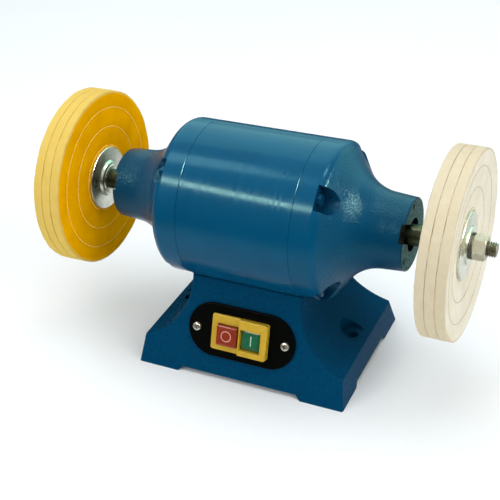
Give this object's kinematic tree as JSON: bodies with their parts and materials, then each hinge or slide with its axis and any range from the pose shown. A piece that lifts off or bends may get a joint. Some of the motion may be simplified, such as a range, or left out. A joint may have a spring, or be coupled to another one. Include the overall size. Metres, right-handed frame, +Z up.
{
  "type": "bench polishing machine",
  "caption": "Bench buffer: horizontal motor on a flared cast pedestal, long bearing necks, a sewn cotton buff clamped on each spindle end, push-button switch in front.",
  "frame": {"origin": "centre of the pedestal's underside, on the bench", "axes": "+X along the spindle to the white buff's end, -Y to the front with the switch, +Z up"},
  "size_m": [0.3832, 0.15, 0.21],
  "materials": {
    "pedestal_paint": "deep blue enamel over coarse sand-cast iron",
    "motor_paint": "deep blue enamel over cast metal, with a machined bare nose face",
    "galvanised_sheet": "galvanised sheet steel",
    "zinc_fasteners": "bright zinc plate",
    "zinc_flange": "turned steel, bright zinc plate",
    "spindle_steel": "ground and threaded steel, lightly oiled",
    "spring_steel": "blackened spring steel",
    "bearing_steel": "ground bearing steel",
    "cage_brass": "machined brass",
    "lamination_steel": "stacked electrical steel sheet",
    "copper_winding": null,
    "cast_aluminium": "die-cast aluminium",
    "switch_plate": "black moulded plate",
    "switch_frame": "yellow moulded plastic",
    "switch_body": "black moulded plastic",
    "stop_red": "red moulded plastic",
    "start_green": "green moulded plastic",
    "brass_terminals": "tinned brass blades",
    "capacitor_can": "off-white moulded can",
    "terminal_block": "natural nylon",
    "lead_insulation": "black sleeved leads",
    "gland_nylon": "black nylon",
    "yellow_buff": "sewn cotton discs treated yellow, circular stitching",
    "white_buff": "soft sewn cotton discs, undyed"
  },
  "bodies": {
    "frame": {"base_casting": "pedestal_paint", "motor_barrel": "motor_paint", "left_end_bell": "motor_paint", "right_end_bell": "motor_paint", "base_cover": "galvanised_sheet", "base_cover_screws": "zinc_fasteners", "through_bolts": "motor_paint", "through_bolt_nuts": "motor_paint", "mount_bolts": "zinc_fasteners", "mount_washers": "zinc_fasteners", "stator_core": "lamination_steel", "stator_windings": "copper_winding", "preload_washer": "spring_steel", "switch_plate": "switch_plate", "switch_plate_screws": "zinc_fasteners", "switch_frame": "switch_frame", "switch_body": "switch_body", "switch_terminals": "brass_terminals", "capacitor": "capacitor_can", "capacitor_clip": "galvanised_sheet", "clip_rivets": "zinc_fasteners", "block_screws": "zinc_fasteners", "lead_sleeve": "lead_insulation", "motor_leads": "lead_insulation", "terminal_block": "terminal_block", "cable_gland": "gland_nylon", "gland_cap": "gland_nylon", "gland_locknut": "gland_nylon", "left_bearing_outer_ring": "bearing_steel", "right_bearing_outer_ring": "bearing_steel"},
    "rotor": {"spindle": "spindle_steel", "rotor_core": "lamination_steel", "rotor_end_rings": "cast_aluminium", "left_bearing_inner_ring": "bearing_steel", "left_inner_flange": "zinc_flange", "left_outer_flange": "zinc_flange", "left_buff_section_1": "yellow_buff", "left_buff_section_2": "yellow_buff", "left_buff_section_3": "yellow_buff", "left_spring_washer": "spring_steel", "left_spindle_nut": "zinc_fasteners", "right_bearing_inner_ring": "bearing_steel", "right_inner_flange": "zinc_flange", "right_outer_flange": "zinc_flange", "right_buff_section_1": "white_buff", "right_buff_section_2": "white_buff", "right_buff_section_3": "white_buff", "right_spring_washer": "spring_steel", "right_spindle_nut": "zinc_fasteners"},
    "left_cage": {"left_bearing_cage": "cage_brass", "left_bearing_balls": "bearing_steel"},
    "right_cage": {"right_bearing_cage": "cage_brass", "right_bearing_balls": "bearing_steel"},
    "off_button": {"off_button": "stop_red"},
    "on_button": {"on_button": "start_green"}
  },
  "joints": [
    {"name": "rotor_spin", "type": "hinge", "parent": "frame", "child": "rotor", "pos_m": [0, 0, 0.135], "axis": [1, 0, 0], "continuous": true},
    {"name": "left_cage_spin", "type": "hinge", "parent": "frame", "child": "left_cage", "pos_m": [0, 0, 0.135], "axis": [1, 0, 0], "continuous": true},
    {"name": "right_cage_spin", "type": "hinge", "parent": "frame", "child": "right_cage", "pos_m": [0, 0, 0.135], "axis": [1, 0, 0], "continuous": true},
    {"name": "off_button_press", "type": "slide", "parent": "frame", "child": "off_button", "axis": [0, 0.9474, -0.3201], "range_m": [0, 0.003], "stiffness_N_per_m": 700},
    {"name": "on_button_press", "type": "slide", "parent": "frame", "child": "on_button", "axis": [0, 0.9474, -0.3201], "range_m": [0, 0.003], "stiffness_N_per_m": 700}
  ],
  "couplings": [
    {"joint": "left_cage_spin", "follows": "rotor_spin", "ratio": 0.38158},
    {"joint": "right_cage_spin", "follows": "rotor_spin", "ratio": 0.38158}
  ]
}
